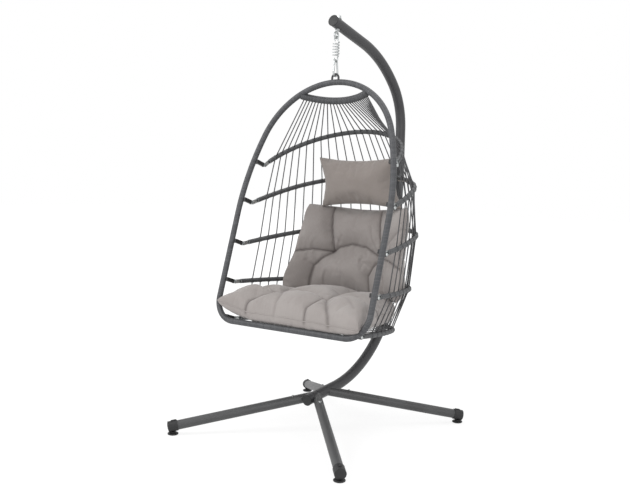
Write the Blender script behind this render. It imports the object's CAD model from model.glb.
# Hanging egg chair: wrapped tubes, cords, stuffed cushions and finishes over the fixed CAD frame.
# Metres. The floor is z = 0, the basket hangs on the line x = 0, y = 0, and the sitter faces -Y.
import math

import bpy
import numpy as np
from bpy.props import FloatProperty, FloatVectorProperty, IntProperty, PointerProperty
from mathutils import Matrix, Vector


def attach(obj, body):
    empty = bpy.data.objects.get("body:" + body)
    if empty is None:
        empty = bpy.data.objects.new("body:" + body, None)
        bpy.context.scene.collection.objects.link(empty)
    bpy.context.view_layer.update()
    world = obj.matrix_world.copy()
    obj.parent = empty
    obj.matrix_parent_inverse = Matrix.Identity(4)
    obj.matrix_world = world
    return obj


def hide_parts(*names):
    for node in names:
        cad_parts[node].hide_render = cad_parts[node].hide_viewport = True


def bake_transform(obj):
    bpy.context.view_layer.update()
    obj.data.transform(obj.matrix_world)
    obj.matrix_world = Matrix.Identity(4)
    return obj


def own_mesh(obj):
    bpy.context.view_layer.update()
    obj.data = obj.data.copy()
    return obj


bl_info = {
    "name": "Hanging Egg Chair",
    "version": (1, 0, 0),
    "blender": (4, 5, 0),
    "location": "View3D > Sidebar > Egg Chair",
    "description": "Builds the wrapped basket, cords, cushions and finishes of a hanging egg chair",
    "category": "Add Mesh",
}

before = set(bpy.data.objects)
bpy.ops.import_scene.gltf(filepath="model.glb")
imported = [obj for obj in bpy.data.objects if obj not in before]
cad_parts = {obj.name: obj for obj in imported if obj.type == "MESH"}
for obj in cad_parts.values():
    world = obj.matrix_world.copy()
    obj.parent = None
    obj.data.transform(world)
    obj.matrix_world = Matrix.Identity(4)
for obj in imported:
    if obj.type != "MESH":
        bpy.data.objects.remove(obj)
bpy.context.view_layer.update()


# -------- colour and nodes
def hex_linear(code):
    """sRGB hex to linear RGBA."""
    out = []
    for i in (0, 2, 4):
        c = int(code[i:i + 2], 16) / 255
        out.append(c / 12.92 if c <= 0.04045 else ((c + 0.055) / 1.055) ** 2.4)
    return (*out, 1.0)


def add(tree, kind, settings=None, links=None):
    """Adds one node, sets its values and links its inputs."""
    n = tree.nodes.new(kind)
    for key, value in (settings or {}).items():
        if isinstance(key, int) or key in n.inputs:
            n.inputs[key].default_value = value
        else:
            setattr(n, key, value)
    for key, source in (links or {}).items():
        tree.links.new(source, n.inputs[key])
    return n


def new_material(name):
    m = bpy.data.materials.new(name)
    m.use_nodes = True
    m.node_tree.nodes.clear()
    return m, m.node_tree


def finish_material(m, tree, shader):
    add(tree, "ShaderNodeOutputMaterial", links={0: shader.outputs[0]})
    return m


def grain(mm):
    """Scale of a pattern whose grains are that many millimetres wide."""
    return 1000.0 / mm


def spread(low, high, least=0.3, most=0.7):
    """Settings that stretch a noise's usual span over two values."""
    return {"From Min": least, "From Max": most, "To Min": low, "To Max": high}


def two_tones(tree, factor, low, high, lo=0.3, hi=0.7):
    """Two hex colours that blend over a factor, the first alone up to lo and the second alone from hi."""
    share = add(tree, "ShaderNodeMapRange", spread(0.0, 1.0, lo, hi), {"Value": factor}).outputs[0]
    return add(tree, "ShaderNodeMix", {"data_type": "RGBA", 6: hex_linear(low), 7: hex_linear(high)},
               {0: share}).outputs[2]


def powder_coat_steel(name, low, high):
    """Steel tube, powder coated and baked: a satin skin with a fine orange peel that breaks up highlights."""
    m, t = new_material(name)
    co = add(t, "ShaderNodeTexCoord").outputs["Object"]
    cloud = add(t, "ShaderNodeTexNoise", {"Scale": grain(111), "Detail": 3.0}, {"Vector": co}).outputs[0]
    peel = add(t, "ShaderNodeTexNoise", {"Scale": grain(1.11), "Detail": 2.0}, {"Vector": co}).outputs[0]
    rough = add(t, "ShaderNodeMapRange", spread(0.38, 0.5), {"Value": cloud}).outputs[0]
    bump = add(t, "ShaderNodeBump", {"Strength": 0.12, "Distance": 0.0004}, {"Height": peel}).outputs[0]
    skin = two_tones(t, cloud, low, high)
    s = add(t, "ShaderNodeBsdfPrincipled", {"IOR": 1.5},
            {"Base Color": skin, "Roughness": rough, "Normal": bump})
    return finish_material(m, t, s)


def zinc_plated_steel():
    """Steel wire and bolts, zinc plated: a cool dull shine with faint cloudy passivation."""
    m, t = new_material("zinc_plated_steel")
    co = add(t, "ShaderNodeTexCoord").outputs["Object"]
    cloud = add(t, "ShaderNodeTexNoise", {"Scale": grain(6.25), "Detail": 4.0}, {"Vector": co}).outputs[0]
    rough = add(t, "ShaderNodeMapRange", spread(0.28, 0.42), {"Value": cloud}).outputs[0]
    bump = add(t, "ShaderNodeBump", {"Strength": 0.1, "Distance": 0.0002}, {"Height": cloud}).outputs[0]
    skin = two_tones(t, cloud, "A3A6A6", "C4C7C7")
    s = add(t, "ShaderNodeBsdfPrincipled", {"Metallic": 1.0},
            {"Base Color": skin, "Roughness": rough, "Normal": bump})
    return finish_material(m, t, s)


def moulded_black_polypropylene():
    """Polypropylene, moulded with a spark-eroded grain: near black and dull, with a soft broad gleam."""
    m, t = new_material("moulded_black_polypropylene")
    co = add(t, "ShaderNodeTexCoord").outputs["Object"]
    spark = add(t, "ShaderNodeTexNoise", {"Scale": grain(0.714), "Detail": 2.0}, {"Vector": co}).outputs[0]
    cloud = add(t, "ShaderNodeTexNoise", {"Scale": grain(33.3), "Detail": 3.0}, {"Vector": co}).outputs[0]
    bump = add(t, "ShaderNodeBump", {"Strength": 0.25, "Distance": 0.0003}, {"Height": spark}).outputs[0]
    rough = add(t, "ShaderNodeMapRange", spread(0.48, 0.6), {"Value": cloud}).outputs[0]
    skin = two_tones(t, cloud, "19191A", "252526")
    s = add(t, "ShaderNodeBsdfPrincipled", {"IOR": 1.49},
            {"Base Color": skin, "Roughness": rough, "Normal": bump})
    return finish_material(m, t, s)


def wrapped_polyethylene(name, pitch, low, high, groove):
    """Polyethylene, wound round a tube: each turn catches the light on its crown, with a dark groove."""
    m, t = new_material(name)
    uv = add(t, "ShaderNodeUVMap", {"uv_map": "along"}).outputs[0]
    sep = add(t, "ShaderNodeSeparateXYZ", links={0: uv})
    turns = add(t, "ShaderNodeMath", {"operation": "DIVIDE", 1: pitch}, {0: sep.outputs[0]}).outputs[0]
    phase = add(t, "ShaderNodeMath", {"operation": "SUBTRACT"}, {0: turns, 1: sep.outputs[1]}).outputs[0]
    fract = add(t, "ShaderNodeMath", {"operation": "FRACT"}, {0: phase}).outputs[0]
    edge = add(t, "ShaderNodeMath", {"operation": "PINGPONG", 1: 0.5}, {0: fract}).outputs[0]
    crown = add(t, "ShaderNodeMapRange", {"From Min": 0.0, "From Max": 0.16}, {"Value": edge}).outputs[0]
    # each turn has its own shade, and a slow cloud runs over them all
    whole = add(t, "ShaderNodeMath", {"operation": "FLOOR"}, {0: phase}).outputs[0]
    each = add(t, "ShaderNodeTexWhiteNoise", {"noise_dimensions": "1D"}, {"W": whole}).outputs[0]
    co = add(t, "ShaderNodeTexCoord").outputs["Object"]
    cloud = add(t, "ShaderNodeTexNoise", {"Scale": grain(16.7), "Detail": 4.0}, {"Vector": co}).outputs[0]
    tone = add(t, "ShaderNodeMix", {"data_type": "FLOAT", "Factor": 0.5}, {"A": each, "B": cloud}).outputs[0]
    skin = two_tones(t, tone, low, high, 0.15, 0.85)
    dark = add(t, "ShaderNodeMix", {"data_type": "RGBA", 6: hex_linear(groove)},
               {0: crown, 7: skin}).outputs[2]
    # extrusion streaks, long and fine, that follow the strand
    drawn_out = add(t, "ShaderNodeMapping", {"Scale": (grain(0.385), grain(33.3), 1.0)},
                    {"Vector": uv}).outputs[0]
    streak = add(t, "ShaderNodeTexNoise", {"Scale": 1.0, "Detail": 2.0}, {"Vector": drawn_out}).outputs[0]
    height = add(t, "ShaderNodeMath", {"operation": "MULTIPLY_ADD", 1: 0.25},
                 {0: streak, 2: crown}).outputs[0]
    bump = add(t, "ShaderNodeBump", {"Strength": 0.55, "Distance": 0.0009}, {"Height": height}).outputs[0]
    rough = add(t, "ShaderNodeMapRange", spread(0.42, 0.58, 0.2, 0.8), {"Value": cloud}).outputs[0]
    s = add(t, "ShaderNodeBsdfPrincipled", {"IOR": 1.5},
            {"Base Color": dark, "Roughness": rough, "Normal": bump})
    return finish_material(m, t, s)


def braided_polyethylene_cord():
    """Polyethylene cord, braided round: dark, slightly waxy, with slanting strands that glint in turn."""
    m, t = new_material("braided_polyethylene_cord")
    uv = add(t, "ShaderNodeUVMap", {"uv_map": "along"}).outputs[0]
    sep = add(t, "ShaderNodeSeparateXYZ", links={0: uv})
    # strands 4 mm apart: coarser than the real 2 mm, so that they show
    turns = add(t, "ShaderNodeMath", {"operation": "MULTIPLY", 1: grain(4)}, {0: sep.outputs[0]}).outputs[0]
    phase = add(t, "ShaderNodeMath", {"operation": "ADD"}, {0: turns, 1: sep.outputs[1]}).outputs[0]
    edge = add(t, "ShaderNodeMath", {"operation": "PINGPONG", 1: 0.5}, {0: phase}).outputs[0]
    crown = add(t, "ShaderNodeMapRange", {"From Min": 0.0, "From Max": 0.35}, {"Value": edge}).outputs[0]
    bump = add(t, "ShaderNodeBump", {"Strength": 0.5, "Distance": 0.0006}, {"Height": crown}).outputs[0]
    skin = two_tones(t, crown, "303032", "4B4B4D", 0.0, 1.0)
    s = add(t, "ShaderNodeBsdfPrincipled", {"Roughness": 0.5, "IOR": 1.5},
            {"Base Color": skin, "Normal": bump})
    return finish_material(m, t, s)


def woven_polyester(name, low, high, shade):
    """Polyester canvas, woven and sewn over loose fill: matt, with a fine thread grid and dark creases."""
    m, t = new_material(name)
    uv = add(t, "ShaderNodeUVMap", {"uv_map": "along"}).outputs[0]
    sep = add(t, "ShaderNodeSeparateXYZ", links={0: uv})
    # threads 1.5 mm apart: three times the real spacing, so that the grid shows
    per_thread = 2 * math.pi * grain(1.5)
    waves = []
    for axis in (0, 1):
        ang = add(t, "ShaderNodeMath", {"operation": "MULTIPLY", 1: per_thread},
                  {0: sep.outputs[axis]}).outputs[0]
        waves.append(add(t, "ShaderNodeMath", {"operation": "SINE"}, {0: ang}).outputs[0])
    grid = add(t, "ShaderNodeMath", {"operation": "MULTIPLY"}, {0: waves[0], 1: waves[1]}).outputs[0]
    # slubs, the thicker stretches of the yarn
    drawn_out = add(t, "ShaderNodeMapping", {"Scale": (grain(1.11), grain(16.7), 1.0)},
                    {"Vector": uv}).outputs[0]
    slub = add(t, "ShaderNodeTexNoise", {"Scale": 1.0, "Detail": 3.0}, {"Vector": drawn_out}).outputs[0]
    co = add(t, "ShaderNodeTexCoord").outputs["Object"]
    cloud = add(t, "ShaderNodeTexNoise", {"Scale": grain(143), "Detail": 4.0, "Roughness": 0.55},
                {"Vector": co}).outputs[0]
    tone = add(t, "ShaderNodeMix", {"data_type": "FLOAT", "Factor": 0.4}, {"A": cloud, "B": slub}).outputs[0]
    skin = two_tones(t, tone, low, high, 0.3, 0.7)
    fold = add(t, "ShaderNodeAttribute", {"attribute_name": "fold"}).outputs["Fac"]
    skin = add(t, "ShaderNodeMix", {"data_type": "RGBA", 7: hex_linear(shade)}, {0: fold, 6: skin}).outputs[2]
    # small rucks where the fill pushes unevenly
    rucks = add(t, "ShaderNodeTexNoise", {"Scale": grain(29.4), "Detail": 3.0, "Distortion": 0.6},
                {"Vector": co}).outputs[0]
    height = add(t, "ShaderNodeMath", {"operation": "MULTIPLY_ADD", 1: 0.08}, {0: grid, 2: rucks}).outputs[0]
    bump = add(t, "ShaderNodeBump", {"Strength": 0.35, "Distance": 0.0015}, {"Height": height}).outputs[0]
    s = add(t, "ShaderNodeBsdfPrincipled",
            {"Roughness": 0.86, "IOR": 1.45, "Sheen Weight": 0.25, "Sheen Roughness": 0.5},
            {"Base Color": skin, "Normal": bump})
    return finish_material(m, t, s)


def woven_polyester_tape():
    """Polyester tape, woven flat and sewn to a cord: matt taupe with a fine twill bump."""
    m, t = new_material("woven_polyester_tape")
    co = add(t, "ShaderNodeTexCoord").outputs["Object"]
    twill = add(t, "ShaderNodeTexNoise", {"Scale": grain(1.43), "Detail": 2.0}, {"Vector": co}).outputs[0]
    bump = add(t, "ShaderNodeBump", {"Strength": 0.4, "Distance": 0.0005}, {"Height": twill}).outputs[0]
    skin = two_tones(t, twill, "7C746F", "8E8681")
    s = add(t, "ShaderNodeBsdfPrincipled", {"Roughness": 0.85}, {"Base Color": skin, "Normal": bump})
    return finish_material(m, t, s)


# -------- paths, as the frame's tubes run
def go(step, p):
    """End of a straight (length, 0) or a bend (radius, turn in degrees) from p = (x, y, heading)."""
    size, turn = step
    a = math.radians(p[2])
    if turn == 0:
        return (p[0] + size * math.cos(a), p[1] + size * math.sin(a), p[2])
    k = 1 if turn > 0 else -1
    cx = p[0] - k * size * math.sin(a)
    cy = p[1] + k * size * math.cos(a)
    b = math.radians(p[2] + turn)
    return (cx + k * size * math.sin(b), cy - k * size * math.cos(b), p[2] + turn)


def length_of(step):
    return step[0] if step[1] == 0 else step[0] * math.radians(abs(step[1]))


def run_length(run):
    return sum(length_of(step) for step in run)


def along(run, start, d):
    """Point and heading at distance d along a run."""
    p = start
    for k, step in enumerate(run):
        n = length_of(step)
        if d <= n or k == len(run) - 1:
            part = (d, 0) if step[1] == 0 else (step[0], step[1] * d / n)
            return go(part, p) if d > 1e-9 else p
        d -= n
        p = go(step, p)
    return p


# the front hoop: its top's height, its length along the tilt and half its width, all on the tube's axis
HOOP_TOP = 1.64628
HOOP_LEN = 1.18
HOOP_HALF = 0.426
# where the curved sides turn straight, and the radii of the sides and of the foot's corners
SHOULDER = 0.66
SIDE_R = 1.25
CORNER_R = 0.11
TILT = math.radians(17)
# the crown's radius that meets both sides without a kink, and the turn of each side up to it
CROWN_R = (SIDE_R ** 2 - (SIDE_R - HOOP_HALF) ** 2 - SHOULDER ** 2) / (2 * (SIDE_R - SHOULDER))
MEET = math.degrees(math.atan((SHOULDER - CROWN_R) / (SIDE_R - HOOP_HALF)))
HALF_BAR = (HOOP_HALF - CORNER_R, 0)
STRAIGHT_SIDE = (HOOP_LEN - CORNER_R - SHOULDER, 0)
HOOP_RUN = [HALF_BAR, (CORNER_R, 90), STRAIGHT_SIDE, (SIDE_R, MEET), (CROWN_R, 180 - 2 * MEET),
            (SIDE_R, MEET), STRAIGHT_SIDE, (CORNER_R, 90), HALF_BAR]
# the five folding ribs, from the top: place on the hoop, reach, slope in degrees and roundness of the sides
RIB_AT = (0.39, 0.584, 0.793, 0.984, 1.16)
RIB_REACH = (0.35, 0.525, 0.64, 0.64, 0.59)
RIB_SLOPE = (30, 16, 7.5, -1.5, -5)
RIB_SIDE = (0.79, 2.27, 3.0, 3.0, 3.3)
# the hinges: how far behind the hoop and in from it, the block, the gap beside it and the rib's flat lug
HINGE_BACK = 0.056
HINGE_IN = 0.011
BLOCK_T = 0.014
LUG_GAP = 0.0004
LUG_T = 0.005
LUG_LEN = 0.035


def on_hoop(x, s, b=0.0):
    """A point at distance s down the hoop's plane and b behind it."""
    return Vector((x, -s * math.sin(TILT) + b * math.cos(TILT),
                   HOOP_TOP - s * math.cos(TILT) - b * math.sin(TILT)))


def hoop_width(s):
    """Half the hoop's width at distance s down its plane."""
    if s < CROWN_R * (1 - math.sin(math.radians(MEET))):
        return math.sqrt(CROWN_R ** 2 - (CROWN_R - s) ** 2)
    if s < SHOULDER:
        return HOOP_HALF - SIDE_R + math.sqrt(SIDE_R ** 2 - (SHOULDER - s) ** 2)
    if s < HOOP_LEN - CORNER_R:
        return HOOP_HALF
    return HOOP_HALF - CORNER_R + math.sqrt(CORNER_R ** 2 - min(s - HOOP_LEN + CORNER_R, CORNER_R) ** 2)


def hoop_point(d):
    """Point and direction on the hoop, at distance d from the middle of its foot."""
    p = along(HOOP_RUN, (0, -HOOP_LEN, 0), d)
    q = math.radians(p[2])
    up = math.sin(q)
    return on_hoop(p[0], -p[1]), Vector((math.cos(q), up * math.sin(TILT), up * math.cos(TILT)))


def rib_hinge(i):
    """Middle of a rib's hinge axis."""
    return on_hoop(0, RIB_AT[i], HINGE_BACK)


def rib_run(i):
    """The rib's half width and its three bends."""
    w = hoop_width(RIB_AT[i]) - HINGE_IN - BLOCK_T - LUG_GAP - LUG_T / 2
    d = RIB_REACH[i]
    rs = RIB_SIDE[i] * w
    rb = (w * w + d * d - 2 * w * rs) / (2 * (d - rs))
    meet = math.degrees(math.atan(abs((d - rb) / (w - rs))))
    return w, [(rs, meet), (rb, 180 - 2 * meet), (rs, meet)]


def sloped(p, at, slope):
    """A flat path's point and direction, laid on a slope (radians) through the point at."""
    q = math.radians(p[2])
    return (Vector((p[0], at.y + p[1] * math.cos(slope), at.z + p[1] * math.sin(slope))),
            Vector((math.cos(q), math.sin(q) * math.cos(slope), math.sin(q) * math.sin(slope))))


def rib_point(i, f=None, d=None):
    """Point and direction on a rib, at a share f of its length or at a distance d along it."""
    w, run = rib_run(i)
    p = along(run, (w, 0, 90), run_length(run) * f if d is None else d)
    return sloped(p, rib_hinge(i), math.radians(RIB_SLOPE[i]))


# the crown bow: place on the hoop, reach behind it and slope
BOW_AT = 0.055
BOW_REACH = 0.066
BOW_SLOPE = math.radians(-26)
BOW_HALF = hoop_width(BOW_AT)
BOW_R = (BOW_HALF ** 2 + BOW_REACH ** 2) / (2 * BOW_REACH)
BOW_TURN = 2 * math.degrees(math.asin(BOW_HALF / BOW_R))


def bow_point(f):
    """Point and direction on the crown bow, at a share f of its length."""
    start = (BOW_HALF, 0, 180 - BOW_TURN / 2)
    p = go((BOW_R, BOW_TURN * f), start) if f > 0 else start
    return sloped(p, on_hoop(0, BOW_AT), BOW_SLOPE)


# -------- mesh helpers
def deselect():
    if bpy.context.object and bpy.context.object.mode != "OBJECT":
        bpy.ops.object.mode_set(mode="OBJECT")
    bpy.ops.object.select_all(action="DESELECT")


def select_only(ob):
    deselect()
    ob.select_set(True)
    bpy.context.view_layer.objects.active = ob


def piece(name, verts, faces, uvs, material):
    """A smooth mesh object whose place is in its mesh, with a UV map in metres."""
    me = bpy.data.meshes.new(name)
    me.from_pydata([tuple(v) for v in verts], [], faces)
    layer = me.uv_layers.new(name="along")
    flat = [value for face in uvs for corner in face for value in corner]
    layer.data.foreach_set("uv", np.array(flat, np.float32))
    me.materials.append(material)
    me.update()
    ob = bpy.data.objects.new(name, me)
    bpy.context.scene.collection.objects.link(ob)
    select_only(ob)
    bpy.ops.object.shade_smooth()
    ob.select_set(False)
    return ob


def frames_along(tangents):
    """A steady pair of cross axes for each direction."""
    out = []
    a = tangents[0].orthogonal().normalized()
    for t in tangents:
        a = (a - t * a.dot(t)).normalized()
        out.append((a, t.cross(a)))
    return out


def tube_data(points, tangents, radius, sides, swell=None, closed=False, caps=True, base=0):
    """Vertices, faces and UVs of a swept tube. swell(distance, turn) adds to the radius."""
    verts, faces, uvs = [], [], []
    axes = frames_along(tangents)
    dist = [0.0]
    for i in range(1, len(points)):
        dist.append(dist[-1] + (points[i] - points[i - 1]).length)
    for p, (a, b), d in zip(points, axes, dist):
        for k in range(sides):
            th = 2 * math.pi * k / sides
            r = radius + (swell(d, k / sides) if swell else 0.0)
            verts.append(p + a * (math.cos(th) * r) + b * (math.sin(th) * r))
    n = len(points)
    if closed:
        dist.append(dist[-1] + (points[0] - points[-1]).length)
    for i in range(n if closed else n - 1):
        here = base + i * sides
        there = base + (i + 1) % n * sides
        for k in range(sides):
            k2 = (k + 1) % sides
            v0 = k / sides
            v1 = (k + 1) / sides
            faces.append((here + k, here + k2, there + k2, there + k))
            uvs.append(((dist[i], v0), (dist[i], v1), (dist[i + 1], v1), (dist[i + 1], v0)))
    if caps and not closed:
        faces.append(tuple(base + k for k in reversed(range(sides))))
        uvs.append(tuple((0.0, k / sides) for k in reversed(range(sides))))
        faces.append(tuple(base + (n - 1) * sides + k for k in range(sides)))
        uvs.append(tuple((dist[-1], k / sides) for k in range(sides)))
    return verts, faces, uvs


def wound_swell(pitch, depth):
    """Radius of a strand wound at that pitch: round crowns with narrow grooves between."""
    def swell(d, turn):
        ph = (d / pitch - turn) % 1.0
        return depth * (math.sqrt(max(0.0, 1 - (2 * ph - 1) ** 4)) - 1)
    return swell


def strands(name, paths, radius, sides, material):
    """Many round cords as one piece."""
    verts, faces, uvs = [], [], []
    for pts, tans in paths:
        v, f, u = tube_data(pts, tans, radius, sides, base=len(verts))
        verts += v
        faces += f
        uvs += u
    return piece(name, verts, faces, uvs, material)


def straight(a, b, n=6):
    """Points and directions of a straight cord from a to b."""
    t = (b - a).normalized()
    return [a.lerp(b, i / (n - 1)) for i in range(n)], [t] * n


def directions(pts):
    """The direction at each point of a path."""
    last = len(pts) - 1
    return [(pts[min(i + 1, last)] - pts[max(i - 1, 0)]).normalized() for i in range(last + 1)]


def hitch(centre, tangent, ring, cord_r, turns=1.5, rings=20):
    """A cord's hitch: a short helix round a tube."""
    a = tangent.orthogonal().normalized()
    b = tangent.cross(a)
    rise = cord_r * 2.1 * turns
    pts = []
    for i in range(rings + 1):
        th = 2 * math.pi * turns * i / rings
        level = centre + a * (math.cos(th) * ring) + b * (math.sin(th) * ring)
        pts.append(level + tangent * (rise * (i / rings - 0.5)))
    return pts, directions(pts)


# -------- settings
class EggChairSizes(bpy.types.PropertyGroup):
    wrap_pitch: FloatProperty(
        name="Strand width", description="Width of the flat strand wound round the hoop",
        default=0.0062, unit="LENGTH")
    wrap_depth: FloatProperty(
        name="Groove depth", description="Depth of the groove between two turns of strand",
        default=0.00045, unit="LENGTH")
    hoop_radius: FloatProperty(
        name="Hoop radius", description="Radius of the wrapped hoop",
        default=0.0138, unit="LENGTH")
    bow_radius: FloatProperty(
        name="Crown bow radius", description="Radius of the crown bow with the cord wound on it",
        default=0.0168, unit="LENGTH")
    rib_radius: FloatProperty(
        name="Rib radius", description="Radius of a wrapped rib",
        default=0.0108, unit="LENGTH")
    cord_radius: FloatProperty(
        name="Cord radius", description="Radius of a cord",
        default=0.0027, unit="LENGTH")
    cords: IntProperty(name="Cords", description="Number of cords in each panel", default=27)
    seat_cords: IntProperty(name="Seat cords", description="Number of cords under the seat", default=15)
    cord_edge: FloatProperty(
        name="First cord", description="Where the first cord sits, as a share of the rib's length",
        default=0.07, subtype="FACTOR")
    cushion_step: FloatProperty(
        name="Cushion grid", description="Spacing of a cushion's mesh before it is filled",
        default=0.0075, unit="LENGTH")
    cushion_cap: FloatProperty(
        name="Swell limit", description="The furthest that the filling may push the cover",
        default=0.028, unit="LENGTH")


class EggChairColours(bpy.types.PropertyGroup):
    floor: FloatVectorProperty(
        name="Floor", description="Colour of the studio floor",
        default=hex_linear("FFFFFF")[:3], subtype="COLOR", size=3)
    light: FloatProperty(
        name="Light", description="Power of the key light in watts",
        default=95.0, unit="POWER")


# -------- finishes of the CAD nodes
class EGGCHAIR_OT_finishes(bpy.types.Operator):
    """Give every CAD node its real material"""
    bl_idname = "eggchair.finishes"
    bl_label = "Frame Finishes"

    def execute(self, context):
        arch = powder_coat_steel("powder_coated_steel_arch", "333335", "3E3E40")
        leg = powder_coat_steel("powder_coated_steel_legs", "414142", "4F5051")
        zinc = zinc_plated_steel()
        black = moulded_black_polypropylene()
        by_finish = (
            (arch, ("arch_lower", "arch_upper", "hang_ring")),
            (leg, ("leg_sockets", "leg_fl", "leg_fr", "leg_bl", "leg_br")),
            (zinc, ("arch_screws", "leg_screws", "eye_bolt", "eye_nut", "snap_hook", "snap_gate", "snap_pin",
                    "hinge_bolts", "hinge_nuts", "spring", "rib_1", "rib_2", "rib_3", "rib_4", "rib_5")))
        by_node = {node: finish for finish, nodes in by_finish for node in nodes}
        for name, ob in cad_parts.items():
            ob.data.materials.clear()
            ob.data.materials.append(by_node.get(name, black))
        return {"FINISHED"}


# -------- wrapped tubes
RINGS_PER_TURN = 4
HOOP_SIDES = 20
BOW_SIDES = 16
RIB_SIDES = 14
# the cord wound on the crown bow: the depth of its grooves, and how near to the bow's ends it runs
BOW_GROOVE = 0.0013
BOW_RINGS_PER_TURN = 5
BOW_END = 0.02
# how far the strand's crowns stand past a rib's radius, so that the frame's rib shows in no groove
STRAND_OFF = 0.0004


def wrapped_tube(name, path, radius, sides, swell, material, body, closed=False):
    """A tube with a strand wound on it, as one piece on its body."""
    pts, tans = zip(*path)
    verts, faces, uvs = tube_data(pts, tans, radius, sides, swell, closed)
    ob = piece(name, verts, faces, uvs, material)
    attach(ob, body)
    return ob


class EGGCHAIR_OT_wrapped_tubes(bpy.types.Operator):
    """Wind the flat strand round the hoop, the crown bow and the ribs"""
    bl_idname = "eggchair.wrapped_tubes"
    bl_label = "Wrapped Tubes"

    def execute(self, context):
        z = context.scene.egg_chair_sizes
        wrap = wrapped_polyethylene("wound_polyethylene_strand", z.wrap_pitch, "414245", "57585B", "1E1F21")
        rib_wrap = wrapped_polyethylene("wound_polyethylene_strand_ribs", z.wrap_pitch,
                                        "414244", "57585A", "303132")
        bow_pitch = 2 * z.cord_radius
        bow_wrap = wrapped_polyethylene("wound_polyethylene_cord", bow_pitch, "3F4042", "56575A", "1E1E20")
        swell = wound_swell(z.wrap_pitch, z.wrap_depth)

        total = run_length(HOOP_RUN)
        n = int(total / z.wrap_pitch * RINGS_PER_TURN)
        path = [hoop_point(total * i / n) for i in range(n)]
        hoop = wrapped_tube("wrapped_hoop", path, z.hoop_radius, HOOP_SIDES, swell, wrap, "basket",
                            closed=True)
        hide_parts("hoop_top", "hoop_foot")

        n = int(BOW_R * math.radians(BOW_TURN) / bow_pitch * BOW_RINGS_PER_TURN)
        path = [bow_point(BOW_END + (1 - 2 * BOW_END) * i / n) for i in range(n + 1)]
        bow_swell = wound_swell(bow_pitch, BOW_GROOVE)
        bow = wrapped_tube("wrapped_crown_bow", path, z.bow_radius, BOW_SIDES, bow_swell, bow_wrap, "basket")
        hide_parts("crown")

        for i in range(len(RIB_AT)):
            wound = run_length(rib_run(i)[1]) - 2 * LUG_LEN
            n = int(wound / z.wrap_pitch * RINGS_PER_TURN)
            path = [rib_point(i, d=LUG_LEN + wound * k / n) for k in range(n + 1)]
            wrapped_tube("wrapped_rib_%d" % (i + 1), path, z.rib_radius + STRAND_OFF, RIB_SIDES,
                         swell, rib_wrap, "fold_%d" % (i + 1))
        return {"FINISHED"}


# -------- cords
CORD_SIDES = 8
HITCH_SIDES = 6
# how deep a cord's end and a hitch lie in the wound strand
END_SUNK = 0.001
HITCH_SUNK = 0.0007
# how far the seat's outer cords stay from the bar's bends
SEAT_CORD_IN = 0.056


def cord_share(z, j):
    """Where cord j of a panel sits, as a share of the rib's length."""
    return z.cord_edge + (1 - 2 * z.cord_edge) * j / (z.cords - 1)


def cord_piece(name, paths, radius, sides, material, body):
    """A panel of cords or a row of hitches, as one piece on its body."""
    ob = strands(name, paths, radius, sides, material)
    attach(ob, body)
    return ob


class EGGCHAIR_OT_cords(bpy.types.Operator):
    """String the cords between the ribs and hitch each one round its tubes"""
    bl_idname = "eggchair.cords"
    bl_label = "Cords"

    def execute(self, context):
        z = context.scene.egg_chair_sizes
        cord = braided_polyethylene_cord()
        r = z.cord_radius
        rib_in = z.rib_radius - END_SUNK
        ring = z.rib_radius - HITCH_SUNK
        for i in range(len(RIB_AT)):
            body = "fold_%d" % (i + 1)
            top_in = (z.bow_radius if i == 0 else z.rib_radius) - END_SUNK
            paths = []
            for j in range(z.cords):
                f = cord_share(z, j)
                upper = bow_point(f)[0] if i == 0 else rib_point(i - 1, f)[0]
                lower = rib_point(i, f)[0]
                d = (lower - upper).normalized()
                paths.append(straight(upper + d * top_in, lower - d * rib_in))
            panel = cord_piece("cord_panel_%d" % (i + 1), paths, r, CORD_SIDES, cord, body)
            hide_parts("cords_%d" % (i + 1))
            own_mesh(panel)
        for i in range(len(RIB_AT)):
            loops = [hitch(*rib_point(i, cord_share(z, j)), ring, r) for j in range(z.cords)]
            cord_piece("cord_hitches_%d" % (i + 1), loops, r, HITCH_SIDES, cord, "fold_%d" % (i + 1))
        self.seat_cords(z, cord, rib_in, ring)
        return {"FINISHED"}

    def seat_cords(self, z, cord, rib_in, ring):
        """The cords from the foot's bar to the lowest rib, which aren't drawn flat in the fold."""
        low = len(RIB_AT) - 1
        back_r = rib_run(low)[1][1][0]
        half = HOOP_HALF - CORNER_R - SEAT_CORD_IN
        paths, loops = [], []
        for j in range(z.seat_cords):
            x = half * (2 * j / (z.seat_cords - 1) - 1)
            reach = RIB_REACH[low] - back_r + math.sqrt(back_r * back_r - x * x)
            skew = math.asin(x / back_r)
            end, side = sloped((x, reach, -math.degrees(skew)), rib_hinge(low), math.radians(RIB_SLOPE[low]))
            start = on_hoop(x, HOOP_LEN)
            t = (end - start).normalized()
            paths.append(straight(start + t * (z.hoop_radius - END_SUNK), end - t * rib_in / math.cos(skew)))
            loops.append(hitch(end, side, ring, z.cord_radius))
        panel = cord_piece("seat_cord_panel", paths, z.cord_radius, CORD_SIDES, cord, "fold_5")
        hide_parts("cords_seat")
        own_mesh(panel)
        cord_piece("seat_cord_hitches_rib", loops, z.cord_radius, HITCH_SIDES, cord, "fold_5")


# -------- spring
# the eye bolt's eye: its height, its hole's radius, and the gap between it and the hook that hangs in it
EYE_Z = 1.86408
EYE_HOLE_R = 0.0085
HUNG_GAP = 0.0003
# the wire, the curls, and the hooks with the drop between them and the curls
WIRE_R = 0.0028
WIRE_SIDES = 14
COIL_R = 0.0142
PITCH = 0.013
CURLS = 5
HOOK_R = 0.0107
HOOK_DROP = 0.005
# in degrees round a hook from its crest: the open end and the root of the upper and of the lower one
UPPER_OPEN, UPPER_ROOT = -150, 130
LOWER_ROOT, LOWER_OPEN = 50, 320
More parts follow.
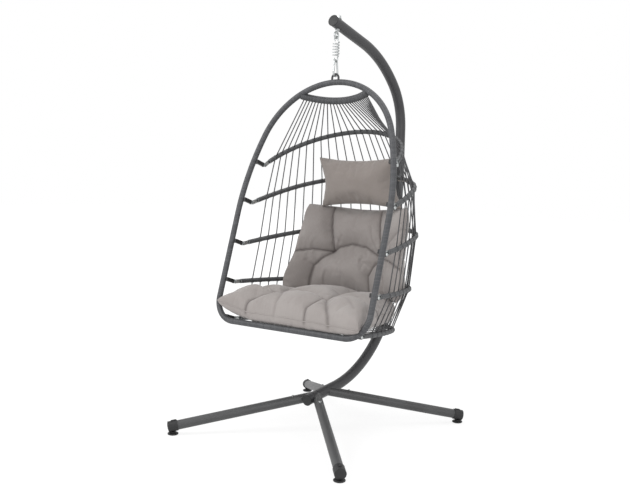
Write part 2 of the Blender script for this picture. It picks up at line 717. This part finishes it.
# degrees between two points of the wire
HOOK_STEP = 10
CURL_STEP = 15


def spring_path():
    """The wire's points: upper hook, curls and lower hook, as in the frame."""
    crest = EYE_Z - EYE_HOLE_R + WIRE_R + HUNG_GAP
    upper = Vector((0, 0, crest - HOOK_R))
    top = upper.z - HOOK_R - HOOK_DROP
    low = top - PITCH * CURLS
    lower = Vector((0, 0, low - HOOK_DROP - HOOK_R))

    def on_hook(c, deg):
        return c + HOOK_R * Vector((math.sin(math.radians(deg)), 0, math.cos(math.radians(deg))))

    def curl(deg):
        a = math.radians(deg)
        return Vector((COIL_R * math.cos(a), COIL_R * math.sin(a), top - PITCH * deg / 360))

    def link(a, b):
        out = []
        for i in range(1, 8):
            u = i / 8
            s = u * u * (3 - 2 * u)
            out.append(Vector((a.x + (b.x - a.x) * s, a.y + (b.y - a.y) * u, a.z + (b.z - a.z) * s)))
        return out

    pts = [on_hook(upper, a) for a in range(UPPER_OPEN, UPPER_ROOT + 1, HOOK_STEP)]
    pts += link(on_hook(upper, UPPER_ROOT), curl(0))
    pts += [curl(a) for a in range(0, 360 * CURLS + 1, CURL_STEP)]
    pts += link(curl(360 * CURLS), on_hook(lower, LOWER_ROOT))
    pts += [on_hook(lower, a) for a in range(LOWER_ROOT, LOWER_OPEN + 1, HOOK_STEP)]
    return pts


class EGGCHAIR_OT_spring(bpy.types.Operator):
    """Bend the coil spring and its two hooks from round wire"""
    bl_idname = "eggchair.spring"
    bl_label = "Coil Spring"

    def execute(self, context):
        pts = spring_path()
        zinc = bpy.data.materials["zinc_plated_steel"]
        ob = piece("coil_spring", *tube_data(pts, directions(pts), WIRE_R, WIRE_SIDES), zinc)
        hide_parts("spring")
        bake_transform(ob)
        return {"FINISHED"}


# -------- cushions
# a crease: how far to its sides it draws the cover down, how deep, and how wide its shade and its hold are
CREASE_REACH = 0.066
CREASE_DEPTH = 0.52
CREASE_SHADE = 0.0065
CREASE_HELD = 0.006
# a tuft: the dimple's width and depth, and its shade's width
TUFT_WIDE = 0.034
TUFT_DEPTH = 0.30
TUFT_SHADE = 0.012
# powers: how steeply the swell rises at the seam, and how late the sides turn forwards
SWELL_RISE = 0.42
WRAP_LATE = 2.2
# half the gap between the skins at the seam, the seam's cord, and the share of a cushion left when folded
SKIN_GAP = 0.0006
SEAM_CORD_R = 0.0022
SEAM_CORD_SIDES = 6
# the pressure of the fill, and the frames that it has to swell the cover
SEAT_PUSH = 3.5
PILLOW_PUSH = 3.0
SIM_FRAMES = 20


def bell(d, wide):
    return math.exp(-(d / wide) ** 2)


def line_distance(x, y, line):
    """Distance from a point to a line through several points."""
    best = math.inf
    for (ax, ay), (bx, by) in zip(line, line[1:]):
        dx = bx - ax
        dy = by - ay
        t = max(0.0, min(1.0, ((x - ax) * dx + (y - ay) * dy) / (dx * dx + dy * dy)))
        best = min(best, math.hypot(x - ax - t * dx, y - ay - t * dy))
    return best


def quilting(x, y, creases, tufts, step):
    """How full, how dark and how firmly held the cover is at a point, from the creases and tufts near it."""
    lobe, dark, held = 1.0, 0.0, 0.0
    for k, line in creases:
        d = line_distance(x, y, line)
        lobe = min(lobe, 1 - CREASE_DEPTH * k * (1 - min(1.0, d / CREASE_REACH) ** 0.55))
        dark = max(dark, 0.8 * k * bell(d, CREASE_SHADE))
        held = max(held, 0.6 * k * bell(d, CREASE_HELD))
    near = min([math.hypot(x - a, y - b) for a, b in tufts] or [math.inf])
    lobe -= TUFT_DEPTH * bell(near, TUFT_WIDE)
    dark += 0.55 * bell(near, TUFT_SHADE)
    if near < step * 1.3:
        held = 1.0
    return lobe, dark, held


def pad_mesh(name, spec, place, material):
    """Two skins of cloth on a grid, joined at a seam, quilted into lobes by creases that run to the tufts.
    A point of the grid is (u, v), each from -1 to 1: u across, v from the near edge to the far one."""
    wide, far_wide, long, thick = spec["near"], spec["far"], spec["long"], spec["thick"]
    step = bpy.context.scene.egg_chair_sizes.cushion_step
    nu = int(max(wide, far_wide) / step)
    nv = int(long / step)
    nu += nu % 2
    nv += nv % 2
    half_wide, half_long = wide / 2, long / 2
    creases = [(k, [(u * half_wide, v * half_long) for u, v in line]) for k, line in spec.get("creases", ())]
    tufts = [(u * half_wide, v * half_long) for u, v in spec.get("tufts", ())]
    lifts = [(u * half_wide, v * half_long, r, h) for u, v, r, h in spec.get("lifts", ())]
    drops = spec.get("drop", ((-1, 1), (0, 0)))
    drawn = spec.get("drawn", 0.05)
    near_wrap, far_wrap = spec.get("wraps", (0, 0))
    top, low, uvs_at, fold, pin = [], [], [], [], []
    for i in range(nu + 1):
        for j in range(nv + 1):
            u = 2 * i / nu - 1
            v = 2 * j / nv - 1
            # the outline: drawn in between its corners, which may be rounded, and fuller near the near edge
            corner = 1 - spec.get("round", 0.0) * (u * u * v * v) ** 2
            belly = 1 + spec.get("belly", 0.0) * bell(v + 0.7, 0.35)
            width = wide + (far_wide - wide) * ((v + 1) / 2) ** spec.get("late", 1)
            x = u * (1 - drawn * (1 - v * v)) * width / 2 * corner * belly
            y = v * (1 - drawn * (1 - u * u)) * long / 2 * (corner if v > 0 else 1)
            # the sides wrap forwards round the sitter
            bow = (near_wrap + (far_wrap - near_wrap) * (v + 1) / 2) * abs(u) ** WRAP_LATE
            # the swell from the seam to the middle
            vr = abs(v) if v < 0 else abs(v) * spec.get("rear", 1.0)
            plump = max(0.0, (1 - abs(u) ** 4) * (1 - vr ** 4)) ** SWELL_RISE
            half = thick / 2 * plump
            # the seam sinks towards the near edge
            s = max(0.0, (-v - 0.5) / 0.5)
            drop = float(np.interp(u, *drops)) * s * s * (3 - 2 * s)
            px = u * half_wide
            py = v * half_long
            lobe, dark, held = quilting(px, py, creases, tufts, step)
            lift = sum(h * plump * bell(math.hypot(px - a, py - b), r) for a, b, r, h in lifts)
            rise = (half + lift + drop * math.sqrt(plump)) * lobe * spec["start"]
            sag = half * spec.get("under", spec["start"]) * (1 - 6.0 * drop)
            top.append(Vector((x, y, bow + SKIN_GAP - drop + rise)))
            low.append(Vector((x, y, bow - SKIN_GAP - drop - sag)))
            uvs_at.append((x, y))
            fold.append(min(1.0, dark))
            pin.append(max(held, 0.9 if max(abs(u), abs(v)) > 1 - 1e-6 else 0.0))
    w = nv + 1
    ring = [i * w for i in range(nu)] + [nu * w + j for j in range(nv)]
    ring += [i * w + nv for i in range(nu, 0, -1)] + list(range(nv, 0, -1))
    rim = set(ring)
    low_id = {k: k for k in rim}
    verts = list(top)
    for k in range(len(top)):
        if k not in rim:
            low_id[k] = len(verts)
            verts.append(low[k])
            fold.append(0.0)
            pin.append(0.25 if spec.get("flat") else 0.0)
    faces, uvs = [], []
    for i in range(nu):
        for j in range(nv):
            a = i * w + j
            b = a + w
            quad = (a, b, b + 1, a + 1)
            faces.append(quad)
            uvs.append(tuple(uvs_at[q] for q in quad))
            back = (a, a + 1, b + 1, b)
            faces.append(tuple(low_id[q] for q in back))
            uvs.append(tuple(uvs_at[q] for q in back))
    ob = piece(name, [place @ v for v in verts], faces, uvs, material)
    at = ob.data.attributes.new("fold", "FLOAT", "POINT")
    at.data.foreach_set("value", np.array(fold, np.float32))
    group = ob.vertex_groups.new(name="held")
    for k, value in enumerate(pin):
        if value > 0.01:
            group.add([k], value, "REPLACE")
    return ob, ring


def sewn_cord(name, ob, ring, material):
    """The thin cord sewn into a cushion's seam, all the way round."""
    pts = [ob.data.vertices[k].co.copy() for k in ring]
    n = len(pts)
    tans = [(pts[(i + 1) % n] - pts[i - 1]).normalized() for i in range(n)]
    tube = tube_data(pts + pts[:1], tans + tans[:1], SEAM_CORD_R, SEAM_CORD_SIDES, caps=False)
    return piece(name, *tube, material)


def inflate(ob, pressure, cap):
    """Cloth under pressure, held at the tufts and the seam, then frozen. No point moves further than cap."""
    rest = np.array([v.co for v in ob.data.vertices], float)
    mod = ob.modifiers.new("fill", "CLOTH")
    c = mod.settings
    c.quality = 4
    c.mass = 0.3
    c.tension_stiffness = c.compression_stiffness = 12
    c.shear_stiffness = 4
    c.bending_stiffness = 0.25
    c.use_pressure = True
    c.uniform_pressure_force = pressure
    # the cloth grows a little, so that it rucks
    c.shrink_min = -0.03
    c.vertex_group_mass = "held"
    c.pin_stiffness = 1.0
    c.effector_weights.gravity = 0
    mod.point_cache.frame_start = 1
    mod.point_cache.frame_end = SIM_FRAMES
    mod.collision_settings.use_collision = False
    scene = bpy.context.scene
    for f in range(1, SIM_FRAMES + 1):
        scene.frame_set(f)
    select_only(ob)
    bpy.ops.object.modifier_apply(modifier=mod.name)
    scene.frame_set(1)
    moved = np.array([v.co for v in ob.data.vertices], float) - rest
    far = np.linalg.norm(moved, axis=1)
    k = np.minimum(1.0, cap / np.maximum(far, 1e-9))
    ob.data.vertices.foreach_set("co", (rest + moved * k[:, None]).astype(np.float32).ravel())
    ob.data.update()
    ob.select_set(False)


def subdivide_once(ob):
    select_only(ob)
    mod = ob.modifiers.new("round", "SUBSURF")
    mod.levels = mod.render_levels = 1
    bpy.ops.object.modifier_apply(modifier=mod.name)
    ob.select_set(False)


# Each cushion. near, far, late: its widths, and how late it narrows. wraps: how far its sides come forwards.
# round, belly, drawn: its corners, its fuller foot and its waist. start, under: the share of its swell cut
# into the cover and its underside. rear: below 1 the far edge stays full. drop: how far the near seam sinks,
# across the width. flat: the underside is held. A crease starts with its strength.
SEAT = {
    "near": 0.80, "far": 0.46, "late": 2.2, "long": 0.59, "thick": 0.178,
    "start": 0.88, "under": 0.94, "rear": 0.9, "flat": True,
    "drop": ((-1, -0.8, -0.5, 0.3, 1), (0.0, 0.018, 0.042, 0.046, 0.052)),
    "tufts": ((-0.36, -0.5), (0.33, -0.45)),
    # where the front corners puff up: place, width and height
    "lifts": ((-0.8, -0.42, 0.09, 0.034), (0.7, -0.62, 0.1, 0.012)),
    "creases": (
        (1.0, ((-1, -0.42), (-0.7, -0.36), (-0.36, -0.5), (-0.12, -0.34), (0.06, -0.33), (0.33, -0.45),
               (0.66, -0.28), (1, -0.3))),
        (1.0, ((-0.36, -0.5), (-0.47, -0.72), (-0.57, -0.9), (-0.57, -1))),
        (0.9, ((0.33, -0.45), (0.29, -0.75), (0.25, -0.9), (0.27, -1))),
        (0.8, ((0.33, -0.45), (0.47, -0.8), (0.56, -0.95), (0.6, -1))),
        (0.9, ((-0.36, -0.5), (-0.49, -0.1), (-0.54, 0.15), (-0.56, 0.9))),
        (0.9, ((0.33, -0.45), (0.3, 0.1), (0.34, 0.9))),
        (0.35, ((-0.36, -0.5), (-0.2, -0.74), (-0.16, -0.98))),
        (0.3, ((0.33, -0.45), (0.7, -0.66), (0.84, -0.8)))),
}
BACK = {
    "near": 0.69, "far": 0.61, "long": 0.4748, "thick": 0.15, "wraps": (0.225, 0.15),
    "start": 0.86, "under": 0.9, "round": 0.07, "belly": 0.055,
    "tufts": ((-0.5, -0.03), (0.43, -0.11)),
    "creases": (
        (1.0, ((-0.6, 1), (-0.56, 0.51), (-0.51, 0.19), (-0.5, -0.03), (-0.62, -0.22), (-0.69, -0.4),
               (-0.69, -1))),
        (0.9, ((0.28, 1), (0.36, 0.4), (0.43, -0.11), (0.27, -0.31), (0.18, -0.51), (0.2, -1))),
        (1.0, ((-1, -0.14), (-0.76, -0.04), (-0.5, -0.03), (-0.4, 0.075), (-0.19, 0.17), (0.08, 0.12),
               (0.43, -0.11), (0.66, -0.17), (1, -0.33))),
        (0.4, ((0.43, -0.11), (0.61, 0.15), (1, 0.5))),
        (0.3, ((0.43, -0.11), (0.2, 0.3), (0.16, 0.55))),
        (0.3, ((-0.5, -0.03), (-0.36, 0.35))),
        (0.3, ((0.43, -0.11), (0.5, -0.45), (0.56, -0.6)))),
}
PILLOW = {"near": 0.474, "far": 0.474, "long": 0.258, "thick": 0.12, "start": 0.85, "drawn": 0.13}
# the seat cushion lies on the cords between the bar and the lowest rib, and hangs a little over the bar
BAR = on_hoop(0, HOOP_LEN)
RIB_5_BACK = rib_point(4, 0.5)[0]
BED = math.atan2(RIB_5_BACK.z - BAR.z, RIB_5_BACK.y - BAR.y)
SEAT_OVER_BAR = 0.026
SEAT_OFF_CORDS = 0.003
# the back cushion stands on its foot, and the pillow hangs round its middle; both lean, in degrees
BACK_FOOT = Vector((0, 0.27207, 0.58826))
BACK_LEAN = 80
PILLOW_AT = Vector((0, 0.2325, 1.1811))
PILLOW_LEAN = 98


class EGGCHAIR_OT_cushions(bpy.types.Operator):
    """Sew, tuft and fill the seat cushion, the back cushion and the head pillow"""
    bl_idname = "eggchair.cushions"
    bl_label = "Cushions"

    def execute(self, context):
        cloth = woven_polyester("woven_polyester_seat", "908986", "A39D9A", "4A4341")
        taupe = woven_polyester("woven_polyester_pillow", "837B76", "948C87", "5A534E")
        seat_middle = (0, SEAT["long"] / 2 - SEAT_OVER_BAR, SEAT_OFF_CORDS + SEAT["thick"] / 2)
        seat_at = Matrix.Translation(BAR) @ Matrix.Rotation(BED, 4, "X") @ Matrix.Translation(seat_middle)
        back_at = (Matrix.Translation(BACK_FOOT) @ Matrix.Rotation(math.radians(BACK_LEAN), 4, "X")
                   @ Matrix.Translation((0, BACK["long"] / 2, 0)))
        pillow_at = Matrix.Translation(PILLOW_AT) @ Matrix.Rotation(math.radians(PILLOW_LEAN), 4, "X")
        for node, place, spec in (("seat_cushion", seat_at, SEAT), ("back_cushion", back_at, BACK)):
            ob, ring = self.sewn("tufted_" + node, node, "seat_cloth", cloth, place, spec, SEAT_PUSH)
            seam = sewn_cord(node.split("_")[0] + "_seam_cord", ob, ring, cloth)
            for part in (ob, seam):
                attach(part, "basket")
                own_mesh(part)
        pillow = self.sewn("head_rest_pillow", "head_pillow", "pillow_cloth", taupe, pillow_at, PILLOW,
                           PILLOW_PUSH)[0]
        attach(pillow, "fold_2")
        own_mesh(pillow)
        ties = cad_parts["pillow_ties"]
        ties.data.materials.clear()
        ties.data.materials.append(woven_polyester_tape())
        return {"FINISHED"}

    def sewn(self, name, node, slot, cover, place, spec, pressure):
        """One cushion: cut, filled and rounded."""
        ob, ring = pad_mesh(name, spec, place, cover)
        inflate(ob, pressure, bpy.context.scene.egg_chair_sizes.cushion_cap)
        subdivide_once(ob)
        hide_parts(node)
        return ob, ring


# -------- studio
FLOOR_SIZE = 60
# just under the feet, so that the two never flicker
FLOOR_Z = -0.0005
# the floor melts into the white backdrop between these distances from the chair
MELT_NEAR = 0.7
MELT_FAR = 1.9
# how white the floor is under the chair, and the strength of the white beyond and of the world's light
MELT_FROM = 0.74
GLOW = 1.1
WORLD_LIGHT = 0.62
# softboxes: place, aim height, size and share of the key light's power
SOFTBOXES = (("key_softbox", (-2.2, -3.4, 3.6), 0.9, 2.4, 1.0),
             ("fill_softbox", (3.4, -2.2, 2.2), 0.9, 2.6, 0.42),
             ("top_softbox", (0.2, 0.6, 4.4), 0.8, 2.6, 0.4))
# the camera: its place, its axes, and its focal length in pixels of a picture that many pixels wide
CAMERA_AT = (2.179, -3.134, 1.155)
CAMERA_RIGHT = Vector((0.808, 0.5887, 0.0225))
CAMERA_UP = Vector((-0.0644, 0.0504, 0.9966))
CAMERA_BACK = Vector((0.5856, -0.8068, 0.0786))
FOCAL_PIXELS = 801.4
PICTURE_PIXELS = 630
SENSOR_MM = 36.0


def white_where_seen(tree, background, seen_shader):
    """The background shader, but the other one where the camera or a gloss sees it."""
    path = add(tree, "ShaderNodeLightPath")
    seen = add(tree, "ShaderNodeMath", {"operation": "MAXIMUM"},
               {0: path.outputs["Is Camera Ray"], 1: path.outputs["Is Glossy Ray"]})
    return add(tree, "ShaderNodeMixShader", links={0: seen.outputs[0], 1: background, 2: seen_shader})


class EGGCHAIR_OT_studio(bpy.types.Operator):
    """Set the floor, the lamps, the world and the camera"""
    bl_idname = "eggchair.studio"
    bl_label = "Studio"

    def execute(self, context):
        deselect()
        self.floor(context)
        self.world(context)
        self.lamps(context)
        self.camera(context)
        context.scene.view_settings.view_transform = "Standard"
        return {"FINISHED"}

    def floor(self, context):
        bpy.ops.mesh.primitive_plane_add(size=FLOOR_SIZE, location=(0, 0, FLOOR_Z))
        floor = context.object
        floor.name = "studio_floor"
        m, t = new_material("matt_white_vinyl_sweep")
        diffuse = add(t, "ShaderNodeBsdfDiffuse", {"Color": (*context.scene.egg_chair_colours.floor, 1.0)})
        glow = add(t, "ShaderNodeEmission", {"Color": (1, 1, 1, 1), "Strength": GLOW})
        co = add(t, "ShaderNodeTexCoord").outputs["Object"]
        far = add(t, "ShaderNodeVectorMath", {"operation": "LENGTH"}, {0: co}).outputs["Value"]
        melt = add(t, "ShaderNodeMapRange", spread(MELT_FROM, 1.0, MELT_NEAR, MELT_FAR),
                   {"Value": far}).outputs[0]
        both = add(t, "ShaderNodeMixShader", links={0: melt, 1: diffuse.outputs[0], 2: glow.outputs[0]})
        finish_material(m, t, white_where_seen(t, diffuse.outputs[0], both.outputs[0]))
        floor.data.materials.append(m)

    def world(self, context):
        world = bpy.data.worlds.new("studio_world")
        context.scene.world = world
        world.use_nodes = True
        w = world.node_tree
        w.nodes.clear()
        dim = add(w, "ShaderNodeBackground", {"Color": (1, 1, 1, 1), "Strength": WORLD_LIGHT})
        white = add(w, "ShaderNodeBackground", {"Color": (1, 1, 1, 1), "Strength": 1.0})
        pick = white_where_seen(w, dim.outputs[0], white.outputs[0])
        add(w, "ShaderNodeOutputWorld", links={0: pick.outputs[0]})

    def lamps(self, context):
        for name, at, aim, size, share in SOFTBOXES:
            data = bpy.data.lights.new(name, "AREA")
            data.size = size
            data.energy = context.scene.egg_chair_colours.light * share
            lamp = bpy.data.objects.new(name, data)
            lamp.location = at
            lamp.rotation_euler = (Vector((0, 0, aim)) - Vector(at)).to_track_quat("-Z", "Y").to_euler()
            context.scene.collection.objects.link(lamp)

    def camera(self, context):
        data = bpy.data.cameras.new("front_camera")
        data.sensor_width = SENSOR_MM
        data.lens = FOCAL_PIXELS / PICTURE_PIXELS * SENSOR_MM
        data.clip_end = 200
        cam = bpy.data.objects.new("front_camera", data)
        axes = Matrix((CAMERA_RIGHT, CAMERA_UP, CAMERA_BACK)).transposed()
        cam.matrix_world = Matrix.Translation(CAMERA_AT) @ axes.to_quaternion().to_matrix().to_4x4()
        context.scene.collection.objects.link(cam)
        context.scene.camera = cam


# -------- panel and start
class EGGCHAIR_PT_panel(bpy.types.Panel):
    """Steps that build the chair, in order"""
    bl_label = "Hanging Egg Chair"
    bl_idname = "EGGCHAIR_PT_panel"
    bl_space_type = "VIEW_3D"
    bl_region_type = "UI"
    bl_category = "Egg Chair"

    def draw(self, context):
        for cls in STEPS:
            self.layout.operator(cls.bl_idname)
        for group in (context.scene.egg_chair_sizes, context.scene.egg_chair_colours):
            box = self.layout.box()
            for key in group.__annotations__:
                box.prop(group, key)


STEPS = (EGGCHAIR_OT_studio, EGGCHAIR_OT_finishes, EGGCHAIR_OT_wrapped_tubes, EGGCHAIR_OT_cords,
         EGGCHAIR_OT_spring, EGGCHAIR_OT_cushions)
CLASSES = (EggChairSizes, EggChairColours, *STEPS, EGGCHAIR_PT_panel)


def register():
    for cls in CLASSES:
        bpy.utils.register_class(cls)
    bpy.types.Scene.egg_chair_sizes = PointerProperty(type=EggChairSizes)
    bpy.types.Scene.egg_chair_colours = PointerProperty(type=EggChairColours)


def unregister():
    del bpy.types.Scene.egg_chair_colours
    del bpy.types.Scene.egg_chair_sizes
    for cls in reversed(CLASSES):
        bpy.utils.unregister_class(cls)


def main():
    register()
    bpy.ops.eggchair.studio()
    bpy.ops.eggchair.finishes()
    bpy.ops.eggchair.wrapped_tubes()
    bpy.ops.eggchair.cords()
    bpy.ops.eggchair.spring()
    bpy.ops.eggchair.cushions()


if __name__ == "__main__":
    main()
